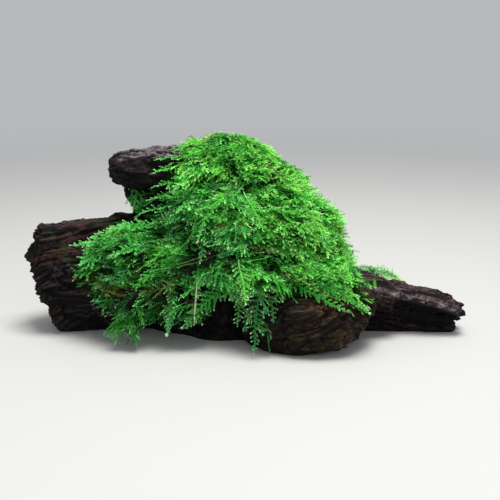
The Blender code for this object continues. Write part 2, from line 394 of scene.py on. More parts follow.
def broken_back(grain, share, longest, start):
    """How far each place near a broken tip is drawn back, which leaves splinters of uneven length."""
    tip = grain[share > 0.5, 0].max()
    near_tip = smooth_step(tip - start, tip - 0.2 * start, grain[:, 0]) * share
    bundle = 1.5 * np.abs(along_grain(grain, BUNDLES, 77.0))
    bundle += 0.3 * np.abs(along_grain(grain, STRANDS, 91.0))
    return longest * near_tip * np.clip(1.1 - bundle, 0, 1)


wood = remeshed(welded_copy(WOOD_NODES, "driftwood", WOOD_SWELL), WOOD_SKIN_VOXEL, WOOD_SKIN_SMOOTHING)
wood_places, wood_normals = places_and_normals(wood)
limb_share = limb_shares(wood_places)
carving = np.zeros(len(wood_places))
ridge_height = np.zeros(len(wood_places))
splinters = np.zeros((len(wood_places), 3))
grain_place = np.zeros((len(wood_places), 3))
for number, (node, (direction, *depths)) in enumerate(WOOD_NODES.items()):
    on_limb = np.flatnonzero(limb_share[number] > 0.02)
    share = limb_share[number, on_limb]
    grain, axes = grain_at(wood_places[on_limb], direction, number)
    depth, crest = relief(wood_places[on_limb], grain, number, *depths)
    carving[on_limb] += share * depth
    ridge_height[on_limb] += share * crest
    strongest = limb_share[:, on_limb].argmax(0) == number
    grain_place[on_limb[strongest]] = grain[strongest] * MM + number
    if node in BROKEN_ENDS:
        back = broken_back(grain, share, *BROKEN_ENDS[node]) * MM
        splinters[on_limb] -= back[:, None] * axes[0]
# Broad swellings and knots run over all the limbs.
carving += 0.8 * lumps_at(wood_places, 13, 3.0) + 0.5 * lumps_at(wood_places, 5, 9.0)
# The sawn underside stays flat, and nothing is pushed below it.
off_floor = smooth_step(0.3 * MM, 3.0 * MM, wood_places[:, 2] - cad_low.z)[:, None]
wood_places += off_floor * (wood_normals * carving[:, None] * MM + splinters)
wood_places[:, 2] = np.maximum(wood_places[:, 2], cad_low.z)
# The arm's front is cut back below its lip.
lip_y, lip_z = (np.interp(wood_places[:, 0] / MM, LIP[:, 0], LIP[:, axis]) for axis in (1, 2))
below_lip = lip_z - wood_places[:, 2] / MM
on_arm = smooth_step(0.5, 0.8, limb_share[RIGHT_ARM]) * smooth_step(*LIP_START, wood_places[:, 0])
overhang = LIP_OVERHANG * smooth_step(LIP_THICKNESS, HOLLOW_DEPTH, below_lip)
front = lip_y + 0.7 * lumps_at(wood_places, 4) + overhang
wood_places[:, 1] += np.maximum(front * MM - wood_places[:, 1], 0) * on_arm
# Along the lip's edge the finish paints a pale highlight.
rim = on_arm * (1 - smooth_step(0.8, 2.2, np.hypot(wood_places[:, 1] / MM - lip_y, below_lip)))
wood.data.vertices.foreach_set("co", wood_places.astype(np.float32).ravel())
for mark, kind, field, values in [
    ("ridge", "FLOAT", "value", ridge_height),
    ("rim", "FLOAT", "value", rim),
    ("grain", "FLOAT_VECTOR", "vector", grain_place),
]:
    wood.data.attributes.new(mark, kind, "POINT").data.foreach_set(field, values.astype(np.float32).ravel())
wood.data.update()
wood.data.shade_smooth()

# The wood's colours, with painted light and shade among them: a ramp each from its dark fibres to its pale
# ones, and four that are even.
BODY = [(0.0, (0.003, 0.0018, 0.0026)), (0.55, (0.0095, 0.0058, 0.0068)), (1.0, (0.03, 0.0185, 0.021))]
HEARTWOOD = [(0.32, (0.01, 0.0035, 0.0025)), (0.72, (0.085, 0.028, 0.019))]
WORN_AND_LIT_TOP = [(0.35, (0.01, 0.006, 0.008)), (0.5, (0.05, 0.035, 0.04)), (0.7, (0.15, 0.115, 0.128))]
PLANK_WITH_TOP_LIGHT = [(0.38, (0.014, 0.007, 0.008)), (0.53, (0.075, 0.044, 0.047)), (0.68, (0.21, 0.14, 0.15))]
ALGAE = [(0.4, (0.003, 0.002, 0.001)), (0.5, (0.012, 0.0082, 0.0036)), (0.6, (0.085, 0.059, 0.024))]
OCHRE = [(0.35, (0.03, 0.013, 0.004)), (0.7, (0.27, 0.135, 0.048))]
RIM_WEAR_AND_HIGHLIGHT = (0.25, 0.205, 0.225, 1)
PAINTED_UNDERSIDE_SHADE = (0.0022, 0.0014, 0.0018, 1)
SHADED_FRONT = (0.0024, 0.0016, 0.0014, 1)
GREEN_FILM = (0.03, 0.045, 0.012, 1)


def driftwood_finish():
    """Nearly black purple-brown wood, mauve-grey where its top edges are worn, red-brown in patches.

    It also has painted light and shade: paler upward faces, a highlight along the arm's lip, and near-black
    undersides and front.
    """
    material, n, shader = new_material("wet_driftwood")
    place = n.add("ShaderNodeTexCoord").outputs["Object"]
    x, y, z = n.add("ShaderNodeSeparateXYZ", Vector=place).outputs
    normal = n.add("ShaderNodeNewGeometry").outputs["Normal"]
    up = n.add("ShaderNodeSeparateXYZ", Vector=normal).outputs["Z"]
    ridge = n.mark("ridge")["Fac"]
    grain = n.add("ShaderNodeMapping", Vector=n.mark("grain")["Vector"], Scale=(0.08, 1.0, 1.0)).outputs[0]
    fibres = n.noise(grain, 2100.0, detail=5.0, roughness=0.65)
    streaks = n.noise(grain, 560.0)
    # The body is darkest in its fissures and a dull mauve-brown on its crests.
    body = n.ramp(n.step(n.math("ADD", ridge, n.math("MULTIPLY", fibres, 0.5)), 0.55, 1.05), BODY)
    # Red-brown heartwood shows on the arm and on the left root.
    outer = n.math("ADD", n.step(x, 0.04, 0.065), n.step(x, -0.05, -0.075))
    patches = n.noise(place, 46.0, detail=3.0)
    body = n.cover(body, n.ramp(fibres, HEARTWOOD), (patches, 0.42, 0.62), outer, (ridge, 0.15, 0.5),
                   (up, -0.15, 0.35), 0.8)
    # The top edges are worn to a mauve-grey, made paler on upward faces as painted top light, with dark
    # fibres left in them.
    body = n.cover(body, n.ramp(fibres, WORN_AND_LIT_TOP), (up, 0.64, 0.95), (ridge, 0.22, 0.62),
                   (n.noise(place, 150.0), 0.34, 0.56), 0.92)
    # The arm's flat top is redder, and paler on its upward faces as painted top light, with long dark
    # fissures.
    body = n.cover(body, n.ramp(fibres, PLANK_WITH_TOP_LIGHT), (up, 0.35, 0.75), (x, 0.046, 0.058), (ridge, 0.3, 0.62), 0.85)
    # The stub's top and the arm's lip are palest of all: worn, with painted top light on the stub and a
    # painted highlight along the lip.
    brow = n.both((up, 0.76, 0.96), (z, 0.085, 0.088), (x, -0.069, -0.058), (fibres, 0.4, 0.56), 0.85)
    rim = n.both(n.mark("rim")["Fac"], (fibres, 0.4, 0.54), 0.85)
    body = n.cover(body, RIM_WEAR_AND_HIGHLIGHT, n.math("MAXIMUM", brow, rim))
    # What doesn't face up is painted nearly black as painted shade, but for the end of the left root.
    body = n.cover(body, PAINTED_UNDERSIDE_SHADE, (up, 0.45, -0.1), (x, -0.075, -0.06), 0.78)
    # Brown algae stains the low front, and an ochre streak runs over the top of the burl.
    front = n.step(y, -0.018, -0.03)
    mottled = n.math("MULTIPLY", n.math("ADD", fibres, streaks), 0.5)
    body = n.cover(body, n.ramp(mottled, ALGAE), front, (n.noise(place, 75.0), 0.3, 0.55), 0.9)
    # Painted shade darkens the front of the wood, fully left of x = 8 mm and fading out by x = 30 mm.
    body = n.cover(body, SHADED_FRONT, front, (x, 0.03, 0.008), 0.8)
    body = n.cover(body, n.ramp(fibres, OCHRE), front, (z, 0.02, 0.026), (x, 0.024, 0.038),
                   (x, 0.056, 0.048), (streaks, 0.42, 0.56), 0.85)
    # A thin green film grows on the upper side of the left root.
    body = n.cover(body, GREEN_FILM, (up, 0.1, 0.6), (x, -0.055, -0.075),
                   (n.noise(place, 95.0), 0.5, 0.62), 0.6)
    rough = n.ramp(streaks, [(0.3, (0.52, 0.52, 0.52)), (0.7, (0.8, 0.8, 0.8))])
    height = n.math("ADD", n.math("MULTIPLY", streaks, 1.6), fibres)
    bump = n.bump(height, 0.9, 0.8 * MM)
    n.fill(shader, Base_Color=body, Roughness=rough, Specular_IOR_Level=0.14, Normal=bump)
    return material


wood.data.materials.clear()
wood.data.materials.append(driftwood_finish())
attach(wood, "root")
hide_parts(*WOOD_NODES)


# A moss shoot is a thread of a stem, closely set with tiny folded leaves that overlap. One leaf, one
# small bud and one round bead are modelled here, and every shoot below is built of copies.
# Sizes are in millimetres.
LEAF_LENGTH = 1.42
LEAF_WIDTH = 0.76
LEAF_FOLD = 0.18
LEAF_WIDEST = 0.42 * LEAF_LENGTH
LEAF_LEAN = 0.62
BUD_SIZE = 0.34
BEAD_SIZE = 0.75

bpy.ops.object.select_all(action="DESELECT")
bpy.ops.mesh.primitive_plane_add(size=1)
leaf = bpy.context.object
bpy.ops.object.mode_set(mode="EDIT")
bpy.ops.mesh.select_all(action="SELECT")
bpy.ops.mesh.quads_convert_to_tris(quad_method="FIXED")
bpy.ops.object.mode_set(mode="OBJECT")
# The square becomes a blade from x = 0 to its tip, folded along its middle.
leaf_places, leaf_faces = mesh_arrays(leaf.data)
ends = [i for i in range(4) if (leaf_faces == i).sum() == 2]
edges = [i for i in range(4) if i not in ends]
leaf_places[ends[0]] = (0, 0, 0)
leaf_places[ends[1]] = (LEAF_LENGTH, 0, 0)
leaf_places[edges[0]] = (LEAF_WIDEST, 0.5 * LEAF_WIDTH, LEAF_FOLD)
leaf_places[edges[1]] = (LEAF_WIDEST, -0.5 * LEAF_WIDTH, LEAF_FOLD)
bpy.data.objects.remove(leaf)


def round_shape(segments, rings, radius):
    """The arrays of a small closed ball."""
    bpy.ops.mesh.primitive_uv_sphere_add(segments=segments, ring_count=rings, radius=radius)
    ball = bpy.context.object
    arrays = mesh_arrays(ball.data)
    bpy.data.objects.remove(ball)
    return arrays


BUD = round_shape(4, 3, BUD_SIZE)
BEAD = round_shape(8, 6, BEAD_SIZE)

# The palette's u along a shoot: 0 is old growth, 0.9 is young, then come a pale tip and a bud.
PALE_TIP = 0.945
BUD_TINT = 0.985


class Growth:
    """Gathers the vertices, palette places and triangles of what grows, to make one mesh of them."""

    def __init__(self):
        self.places, self.palette, self.faces, self.count = [], [], [], 0

    def add(self, places, palette, faces):
        self.places.append(places)
        self.palette.append(palette)
        self.faces.append(faces + self.count)
        self.count += len(places)

    def add_copies(self, places, palette, faces):
        """Copies of one shape: (copies, vertices, 3) places with (copies, vertices, 2) palette places."""
        steps = (np.arange(places.shape[0]) * places.shape[1])[:, None, None]
        self.add(places.reshape(-1, 3), palette.reshape(-1, 2), (faces[None] + steps).reshape(-1, 3))

    def joined(self):
        return np.concatenate(self.places), np.concatenate(self.palette), np.concatenate(self.faces)


def unit(vectors):
    return vectors / np.maximum(np.linalg.norm(vectors, axis=-1, keepdims=True), 1e-9)


def add_leaves(growth, roots, forward, outward, face, size, age):
    """Copies of the leaf at roots. forward, outward and face are each leaf's own axes, and age its colour."""
    count = len(roots)
    blade = leaf_places[None] * np.broadcast_to(size, count)[:, None, None]
    places = roots[:, None] + blade[..., :1] * forward[:, None] + blade[..., 1:2] * outward[:, None]
    places = places + blade[..., 2:] * face[:, None]
    tint = np.zeros((count, 4, 2))
    tint[..., 0] = np.asarray(age)[:, None] + 0.05 * (leaf_places[None, :, 0] / LEAF_LENGTH - 0.5)
    growth.add_copies(places, tint, leaf_faces)


def add_stem(growth, line, radius, sides, ages):
    """A thin stem along the line, tapering towards its end: a ribbon for two sides, else a prism."""
    forward = unit(np.gradient(line, axis=0))
    across = unit(np.cross(forward, (0, 0, 1.0)) + 1e-6)
    face = np.cross(across, forward)
    taper = radius * np.linspace(1, 0.45, len(line))[:, None]
    rings = []
    for k in range(sides):
        angle = 2 * math.pi * k / sides
        rings.append(line + taper * (math.cos(angle) * across + math.sin(angle) * face))
    rings = np.stack(rings, 1)
    tint = np.zeros((len(line), sides, 2))
    tint[..., 0] = np.asarray(ages)[:, None]
    faces = []
    for i in range(len(line) - 1):
        for k in range(sides if sides > 2 else 1):
            a, b = i * sides + k, i * sides + (k + 1) % sides
            faces += [(a, b, b + sides), (a, b + sides, a + sides)]
    growth.add(rings.reshape(-1, 3), tint.reshape(-1, 2), np.array(faces))


def add_ball(growth, ball, place, stretch):
    """A pale bud or bead at the tip of a shoot."""
    places, faces = ball
    growth.add(places * stretch + place, np.full((len(places), 2), (BUD_TINT, 0.0)), faces)


def lengths_along(line):
    """The length of the line up to each of its points."""
    return np.concatenate([[0], np.cumsum(np.linalg.norm(np.diff(line, axis=0), axis=1))])


def read_at(at, lengths, rows):
    """The rows, which stand at these lengths along a line, read at other lengths."""
    return np.stack([np.interp(at, lengths, rows[:, axis]) for axis in range(3)], 1)


def leafy(growth, line, spacing, size, ages, rng, pale):
    """Sets leaves in turn on both sides of a line, leaning forward, and one at its tip."""
    lengths = lengths_along(line)
    at = np.arange(0.15 * spacing, lengths[-1] - 0.2, 0.5 * spacing)
    side = np.where(np.arange(len(at)) % 2 == 0, 1.0, -1.0)
    at = np.append(at, max(lengths[-1] - 0.25, 0))
    side = np.append(side, 0.0)
    roots = read_at(at, lengths, line)
    ahead = unit(read_at(at, lengths, np.gradient(line, axis=0)))
    across = unit(np.cross(ahead, (0, 0, 1.0)))
    up = np.cross(across, ahead)
    lean = LEAF_LEAN * side[:, None] * (0.75 + 0.5 * rng.random((len(at), 1)))
    lift = 0.7 * (rng.random((len(at), 1)) - 0.42)
    forward = unit(ahead + lean * across + lift * up)
    outward = unit(np.cross(up, forward) + 0.9 * (rng.random((len(at), 1)) - 0.5) * up)
    face = np.cross(forward, outward)
    share = at / lengths[-1]
    grown = size * (1.0 - 0.3 * share) * (0.85 + 0.3 * rng.random(len(at)))
    age = ages[0] + (ages[1] - ages[0]) * share
    if rng.random() < pale:
        age[-1] = PALE_TIP
    add_leaves(growth, roots, forward, outward, face, grown, age)


# A frond is one main shoot with shorter side shoots, set in turn on both sides in one plane like a
# small fern's, and with a pale bud at the end of a few. It is grown flat, along +X, in millimetres.
SIDE_ANGLE = 60
SIDE_STEM = 0.13
MAIN_LEAF_SPACING, SIDE_LEAF_SPACING = 1.3, 1.1
# The first side shoot stands this share of the frond's length above its root.
BARE_SHARE = 0.1


def side_shoot(growth, root, heading, grown, dip, ages, leaf_size, rng, pale):
    """One leafy side shoot that bends forward as it grows. Its line is returned."""
    steps = np.linspace(0, 1, 3)[:, None]
    bend = np.array([rng.uniform(-0.05, 0.5), rng.normal(0, 0.1), dip])
    line = root + grown * (steps * heading + steps**2 * bend)
    add_stem(growth, line, SIDE_STEM, 2, np.linspace(*ages, 3))
    leafy(growth, line, SIDE_LEAF_SPACING, leaf_size, ages, rng, pale)
    return line


def grow_frond(seed, length, pitch=2.5, reach=4.6, buds=0.06, pale=0.65, leaf_size=1.0, stem=0.19,
               stem_age=0.1, turn=SIDE_ANGLE, narrowing=1.0, bead=None):
    """A frond of this length. Side shoots on each side are pitch apart and at most reach long.

    They turn from the stem by turn in degrees. Narrowing below 1 makes the frond taper to its tip."""
    rng = np.random.default_rng(seed)
    growth = Growth()
    bends = max(6, int(length / 3))
    line_x = np.linspace(0, length, bends)
    main = np.stack([line_x, 0.35 * np.sin(line_x / 4 + rng.random() * 6), 0.25 * np.sin(line_x / 3)], 1)
    main[0] = 0
    add_stem(growth, main, stem, 3, np.linspace(stem_age, 0.8, bends))
    leafy(growth, main[1:], MAIN_LEAF_SPACING, leaf_size, (0.22, 0.86), rng, 0.8)
    side = 1 if rng.random() < 0.5 else -1
    x = BARE_SHARE * length
    while x < length - 1.3:
        # Side shoots are longest from a third to half of the way along.
        t = x / length
        grown = reach * min(1.0, 0.55 + 1.6 * t) * min(1.0, 0.25 + 1.5 * (1 - t)) * (1 - (1 - narrowing) * t)
        grown *= 0.55 + 0.75 * rng.random()
        angle = math.radians(turn) * (1.1 - 0.3 * t + 0.4 * (rng.random() - 0.5))
        heading = np.array([math.cos(angle), side * math.sin(angle), 0])
        root = np.array([x, np.interp(x, line_x, main[:, 1]), np.interp(x, line_x, main[:, 2])])
        first_age = 0.16 + 0.5 * t
        ages = (first_age, min(0.9, first_age + 0.36))
        dip = rng.normal(-0.14, 0.2)
        line = side_shoot(growth, root, heading, grown, dip, ages, 0.92 * leaf_size, rng, pale)
        if rng.random() < buds:
            add_ball(growth, BUD, line[-1] + (0.4, 0.4 * side, 0), 0.85 + 0.4 * rng.random())
        side = -side
        x += 0.5 * pitch * (0.8 + 0.4 * rng.random())
    if bead:
        add_ball(growth, BEAD, main[-1] + (1.0, 0, 0), bead)
    elif rng.random() < 2 * buds:
        add_ball(growth, BUD, main[-1] + (0.8, 0, 0), 1.1)
    return growth.joined(), length


def frond_kinds(first_seed, shapes, **shared):
    """A frond for each row of shapes: its length, its pitch and reach, and its share of buds."""
    return [grow_frond(first_seed + i, *shape, **shared) for i, shape in enumerate(shapes)]


FRONDS = frond_kinds(101, [
    (15, 2.6, 5, 0.02), (12, 2.4, 4, 0.05), (17, 2.8, 5.6, 0.01), (10, 2.3, 3.6, 0.05),
    (14, 2.5, 4.4, 0.02), (18, 2.7, 4.2, 0.03), (13, 2.5, 5.2, 0.02),
])
# Whips are long thin shoots that stray out of the mound. Inner fronds are old, sparse and dark.
WHIPS = frond_kinds(201, [
    (15, 5, 2.2, 0.1), (12, 4, 1.8, 0.12), (17, 4.5, 2.8, 0.06),
], pale=0.8, leaf_size=0.85, stem=0.15)
INNER = frond_kinds(301, [(12, 4, 4.6, 0), (10, 3.6, 4, 0)], pale=0, leaf_size=1.15)


def laid_along(frond, lines, sides):
    """The frond's copies bent along lines. lines is (copies, steps, 3) and sides is (copies, 3)."""
    (flat, palette, faces), length = frond
    copies, steps = lines.shape[:2]
    along = np.clip(flat[:, 0] / length, -0.02, 1.12) * (steps - 1)
    first = np.clip(along.astype(int), 0, steps - 2)
    t = (along - first)[None, :, None]
    centre = lines[:, first] * (1 - t) + lines[:, first + 1] * t
    slopes = unit(np.gradient(lines, axis=1))
    ahead = unit(slopes[:, first] * (1 - t) + slopes[:, first + 1] * t)
    across = unit(sides[:, None] - (sides[:, None] * ahead).sum(-1, keepdims=True) * ahead)
    face = np.cross(ahead, across)
    return centre + flat[None, :, 1:2] * across + flat[None, :, 2:] * face


# The moss's colour runs along every shoot, from old dark growth to a pale tip, and differs from shoot
# to shoot between olive-brown, deep green, bright green and yellow-green. The palette's u is the place
# along the shoot, and its v is the shoot's own tone.
TONES = (0.0, 0.25, 0.65, 1.0)
OLD = ((0.016, 0.013, 0.004), (0.002, 0.009, 0.003), (0.003, 0.03, 0.004), (0.01, 0.06, 0.005))
GROWN = ((0.125, 0.108, 0.02), (0.016, 0.15, 0.028), (0.068, 0.5, 0.05), (0.22, 0.7, 0.07))
FRESH = ((0.24, 0.26, 0.05), (0.07, 0.4, 0.105), (0.225, 0.8, 0.15), (0.44, 0.9, 0.18))
PALE = ((0.35, 0.43, 0.18), (0.21, 0.54, 0.28), (0.34, 0.74, 0.3), (0.54, 0.86, 0.28))
BUD_COLOUR = (0.37, 0.64, 0.37, 1)


def moss_finish():
    material, n, shader = new_material("living_moss")
    palette = n.add("ShaderNodeUVMap")
    palette.uv_map = "OFBake"
    age, tone = n.add("ShaderNodeSeparateXYZ", Vector=palette.outputs[0]).outputs[:2]
    old, grown, fresh_unshaded, pale = (n.ramp(tone, list(zip(TONES, row))) for row in (OLD, GROWN, FRESH, PALE))
    colour = n.cover(old, grown, (age, 0.1, 0.48))
    colour = n.cover(colour, fresh_unshaded, (age, 0.5, 0.88))
    colour = n.cover(colour, pale, (age, 0.9, 0.94))
    colour = n.cover(colour, BUD_COLOUR, (age, 0.97, 0.98))
    n.fill(shader, Base_Color=colour, Roughness=0.55, Specular_IOR_Level=0.13)
    return material


living_moss = moss_finish()


def moss_object(name, growth):
    """A mesh object of everything in the growth, with its palette places as a UV map."""
    places, palette, faces = growth.joined()
    palette = np.clip(palette, 0.004, 0.996)[faces.ravel()]
    mesh = bpy.data.meshes.new(name)
    mesh.from_pydata(places.tolist(), [], faces.tolist())
    mesh.uv_layers.new(name="OFBake").data.foreach_set("uv", palette.astype(np.float32).ravel())
    mesh.validate()
    mesh.shade_smooth()
    mesh.materials.append(living_moss)
    return placed(name, mesh)


# Each clump of moss is a mat of old shoots close to the wood, dark as old growth and as painted shade, out of
# which young fronds grow outwards in layers and droop at their tips. The tips end where the clump's solid
# does.
MOUND_AXIS = np.array([-4.0, 4.0]) * MM
MOUND_REACH = np.array([30.0, 58.0]) * MM
MAT_DEPTH, MAT_LEFT = 5.8 * MM, 1.0 * MM
MAT_VOXEL, MAT_SMOOTHING = 1.7 * MM, 6
# Low on a clump that hangs in its own shade, only this share of the fronds grows, and they are darker.
LOW_SHARE = 0.22
LOW_SHADE = 0.22
# The inner and the filled-in fronds are darker than the clump by this much of the palette.
INNER_SHADE, FILLED_SHADE = 0.16, 0.08
# How far in millimetres a tip lies inside the clump's solid, or stands out of it: at least and at most.
INNER_SINK, WHIP_STAND, FILLED_STAND = (1.2, 3.6), (0.5, 3.5), (0.5, 2.5)
# How much open room whips and filled-in fronds need in front of them.
WHIP_CLEARANCE, FILLED_CLEARANCE = 4 * MM, 1.5 * MM
# A frond's centre line has this many points.
LINE_STEPS = 7
# The crown's outline from the front, as x and z in millimetres: a small tuft, a notch, and the peak.
# Fronds that stand up above it bend over.
OUTLINE = np.array([
    (-45, 86), (-38, 89), (-35, 91), (-32, 93.5), (-28.5, 97.5), (-25.5, 94), (-22.5, 93.2), (-20, 95),
    (-17, 98.8), (-12, 98.8), (-5, 96.5), (6, 92.5), (14, 87), (20, 82), (30, 80),
])
# What strays out of the solids' box is drawn back to this near it.
STRAY = 1.0 * MM


def solid_tree(nodes):
    """A search tree over all the triangles of these CAD nodes."""
    all_places, all_faces, count = [], [], 0
    for node in nodes:
        places, faces = shape_of(node)
        all_places.append(places)
        all_faces.append(faces + count)
        count += len(places)
    return BVHTree.FromPolygons(np.concatenate(all_places).tolist(), np.concatenate(all_faces).tolist())


# Each hollow between the tufts, darkened as painted shade, and each tuft painted lighter or darker than the
# rest as painted
# light and shade: its place and radius in millimetres, and for a tuft how much its tone changes.
HOLLOWS = [
    ((-46, -15, 79), 11), ((-46, -18, 70), 11), ((-51, -18, 65), 10), ((-22, -36, 45), 8),
    ((-29, -36, 41), 6), ((-10, -22, 84), 6), ((-2, -24, 75), 4), ((10, -39, 41), 6), ((5, -44, 34), 4),
    ((24, -45, 31), 6), ((53, -42, 30), 8), ((51, -36, 38), 7), ((-61, -29, 47), 7), ((-44, -25, 52), 5),
    ((-46, -38, 27), 5), ((-30, -31, 56), 4),
]
LIT_AND_SHADED_TUFTS = [
    ((9, -32, 58), 10, 0.22), ((-25, -32, 66), 8, 0.14), ((-39, -33, 47), 9, 0.2),
    ((-56, -34, 42), 8, 0.12), ((28, -43, 37), 11, 0.18), ((-2, -42, 37), 7, 0.12),
    ((-27, -11, 91), 8, 0.14), ((-14, -5, 94), 8, 0.14), ((23, -21, 69), 10, 0.1),
    ((38, -24, 58), 10, 0.12), ((-5, -21, 88), 6, 0.1), ((10, -20, 74), 9, -0.14),
    ((-35, -35, 34), 12, -0.16), ((-70, -30, 34), 14, -0.14), ((-62, -36, 20), 14, -0.2),
    ((-46, -36, 20), 11, -0.18),
]


def nearness(points, spot, radius):
    """1 at the spot, and 0 from its radius on."""
    return 1 - smooth_step(0.4, 1.0, np.linalg.norm(points / MM - spot, axis=1) / radius)


def shelves_at(points):
    """From -1 to 1: where fronds crowd together in wide low layers, and where gaps stay between them."""
    return lumps_at(points, (9.5, 9.5, 5.0), 17.0)


def settled(places):
    """Draws fronds in at the hollows and in the gaps between layers, and out at the tufts painted lighter.

    Returns their places, and how much of its colour each keeps there: 1, or less where painted shade darkens
    it in the hollows and in the gaps between layers."""
    flat = places.reshape(-1, 3)
    outward = unit((flat - (*MOUND_AXIS, 0.06)) * (1.0, 1.0, 0.3))
    bands = lumps_at(flat, (8.0, 8.0, 3.4), 30.0)
    shift = 1.3 * bands
    # Painted shade darkens the fronds in the gaps between layers, more on the left.
    left = 1 - 0.6 * smooth_step(5 * MM, 28 * MM, flat[:, 0])
    fresh_unshaded = 1 - 0.42 * smooth_step(0.0, -0.42, bands) * left
    for spot, radius in HOLLOWS:
        near = nearness(flat, spot, radius)
        shift -= min(0.6 * radius, 5.0) * near
        # A hollow's fronds are darkened as painted shade.
        fresh_unshaded *= 1 - 0.85 * near
    for spot, radius, change in LIT_AND_SHADED_TUFTS:
        shift += 9 * change * nearness(flat, spot, radius)
    flat = flat + shift[:, None] * MM * outward
    return flat.reshape(places.shape), fresh_unshaded.reshape(places.shape[:2])


def open_surface_points(node, count, rng, clearance, gaps=0.0, sparse_below=0.0, patch=None):
    """Points spread over the node's surface where nothing covers it, few of them in the gaps or low down.

    With a patch, a (spot, radius) in millimetres, all of them lie in it."""
    places, faces = shape_of(node)
    others = solid_tree([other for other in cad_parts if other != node])
    a, b, c = (places[faces[:, k]] for k in range(3))
    normal = np.cross(b - a, c - a)
    area = np.linalg.norm(normal, axis=1)
    kept, facings = [], []
    while len(kept) < count:
        pick = rng.choice(len(faces), count, p=area / area.sum())
        r, s = rng.random((2, count, 1))
        r, s = np.where(r + s > 1, 1 - r, r), np.where(r + s > 1, 1 - s, s)
        points = a[pick] + r * (b[pick] - a[pick]) + s * (c[pick] - a[pick])
        crowd = smooth_step(-0.4, 0.0, shelves_at(points))
        chance = (1 - gaps + gaps * crowd) * np.where(points[:, 2] < sparse_below * MM, LOW_SHARE, 1.0)
        for spot, radius in HOLLOWS:
            chance *= 1 - 0.96 * nearness(points, spot, radius)
        if patch:
            chance *= nearness(points, *patch)
        wanted = rng.random(count) < chance
        for point, facing, want in zip(points, normal[pick] / area[pick, None], wanted):
            if want and others.ray_cast(point.tolist(), facing.tolist(), clearance)[0] is None:
                kept.append(point)
                facings.append(facing)
    return np.array(kept[:count]), np.array(facings[:count])


def tone_at(points, rng, brightness):
    """Each frond's place on the palette: lighter to the right and on top, and lighter or darker at the tufts,
    as painted light and shade; browner in a few patches.
    """
    tone = brightness + 0.26 * lumps_at(points, 14, 40.0) + 2.6 * points[:, 0] + 1.0 * (points[:, 2] - 0.05)
    tone += 0.1 * rng.standard_normal(len(points))
    for spot, radius, change in LIT_AND_SHADED_TUFTS:
        tone += change * nearness(points, spot, radius)
    brown = lumps_at(points, 9, 80.0) > 0.44 - 5.0 * np.clip(points[:, 0], 0, 0.03)
    return np.where(brown & (rng.random(len(points)) < 0.4), 0.06, np.clip(tone, 0.16, 0.86))


every_solid = solid_tree(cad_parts)
wood_solids = solid_tree(WOOD_NODES)


def roots_outside(roots):
    """True for each root that is farther than 1 mm outside all the solids."""
    found = [every_solid.find_nearest(root) for root in roots.tolist()]
    return np.array([distance > 1 * MM and normal.dot(Vector(root) - spot) > 0
                     for root, (spot, normal, face, distance) in zip(roots.tolist(), found)], bool)


def growing_lines(tips, normals, lengths, rng, droop):
    """Centre lines of fronds that end at the tips. They head away from the mound and then droop."""
    count = len(tips)
    away = np.zeros((count, 3))
    away[:, :2] = (tips[:, :2] - MOUND_AXIS) / MOUND_REACH
    heading = unit(away) + normals * 0.6
    heading[:, 0] += 0.45 * np.tanh((tips[:, 0] - MOUND_AXIS[0]) / (14 * MM))
    heading[:, 2] -= 0.12
    heading = unit(unit(heading) + 0.4 * rng.standard_normal((count, 3)) * (1, 1, 0.5))
    # A frond whose root would hang in the air grows straight out of the moss instead.
    loose = roots_outside(tips - 0.92 * lengths[:, None] * heading)
    heading[loose] = unit(normals[loose] + 0.25 * rng.standard_normal((loose.sum(), 3)))
    sag = droop * (0.4 + rng.random(count))[:, None]
    sway = 0.22 * rng.standard_normal(count)[:, None]
    side = unit(np.cross(heading, (0, 0, 1.0)))
    lines = np.empty((count, LINE_STEPS, 3))
    for k, t in enumerate(np.linspace(0, 1, LINE_STEPS)):
        bend = sag * t**2 * np.array([0, 0, -1.0]) + sway * t**2 * side
        lines[:, k] = lengths[:, None] * (t * heading + bend)
    lines += (tips - lines[:, -1])[:, None]
    roll = 0.42 * rng.standard_normal(count)[:, None]
    return lines, unit(side * np.cos(roll) + np.cross(side, heading) * np.sin(roll))


def add_mat(growth, node):
    """The clump's old inner growth: a lumpy body inside it, dark as old growth and as painted shade, whose
    tangle shows between fronds.
    """
    body = remeshed(welded_copy([node], "mat"), MAT_VOXEL, MAT_SMOOTHING)
    places, normals = places_and_normals(body)
    faces = mesh_arrays(body.data)[1]
    own = BVHTree.FromPolygons(places.tolist(), faces.tolist())
    # Its outside sinks below the fronds, but never through the side that holds on to the wood.
    sunk = np.zeros(len(places))
    for i, (place, normal) in enumerate(zip(places, normals)):
        if wood_solids.ray_cast(place.tolist(), normal.tolist(), 4 * MM)[0] is None:
            start = place - 0.3 * MM * normal
            thickness = own.ray_cast(start.tolist(), (-normal).tolist(), 3 * MAT_DEPTH)[3]
            sunk[i] = max(0, min(MAT_DEPTH, (thickness or 3 * MAT_DEPTH) - MAT_LEFT))
    tangle = lumps_at(places, 2.6) + 0.6 * lumps_at(places, 1.3, 5.0)
    places -= normals * (sunk - 1.3 * MM * tangle * (sunk > 0))[:, None]
    # The mat's dark colour is partly old growth and partly painted shade in the gaps between the fronds.
    tint = np.zeros((len(places), 2))
    tint[:, 0] = 0.02 + 0.09 * np.clip(0.4 + tangle, 0, 1)
    tint[:, 1] = np.clip(0.26 + 0.25 * lumps_at(places, 7, 60.0), 0.02, 0.6)
    growth.add(places, tint, faces)
    bpy.data.objects.remove(body)


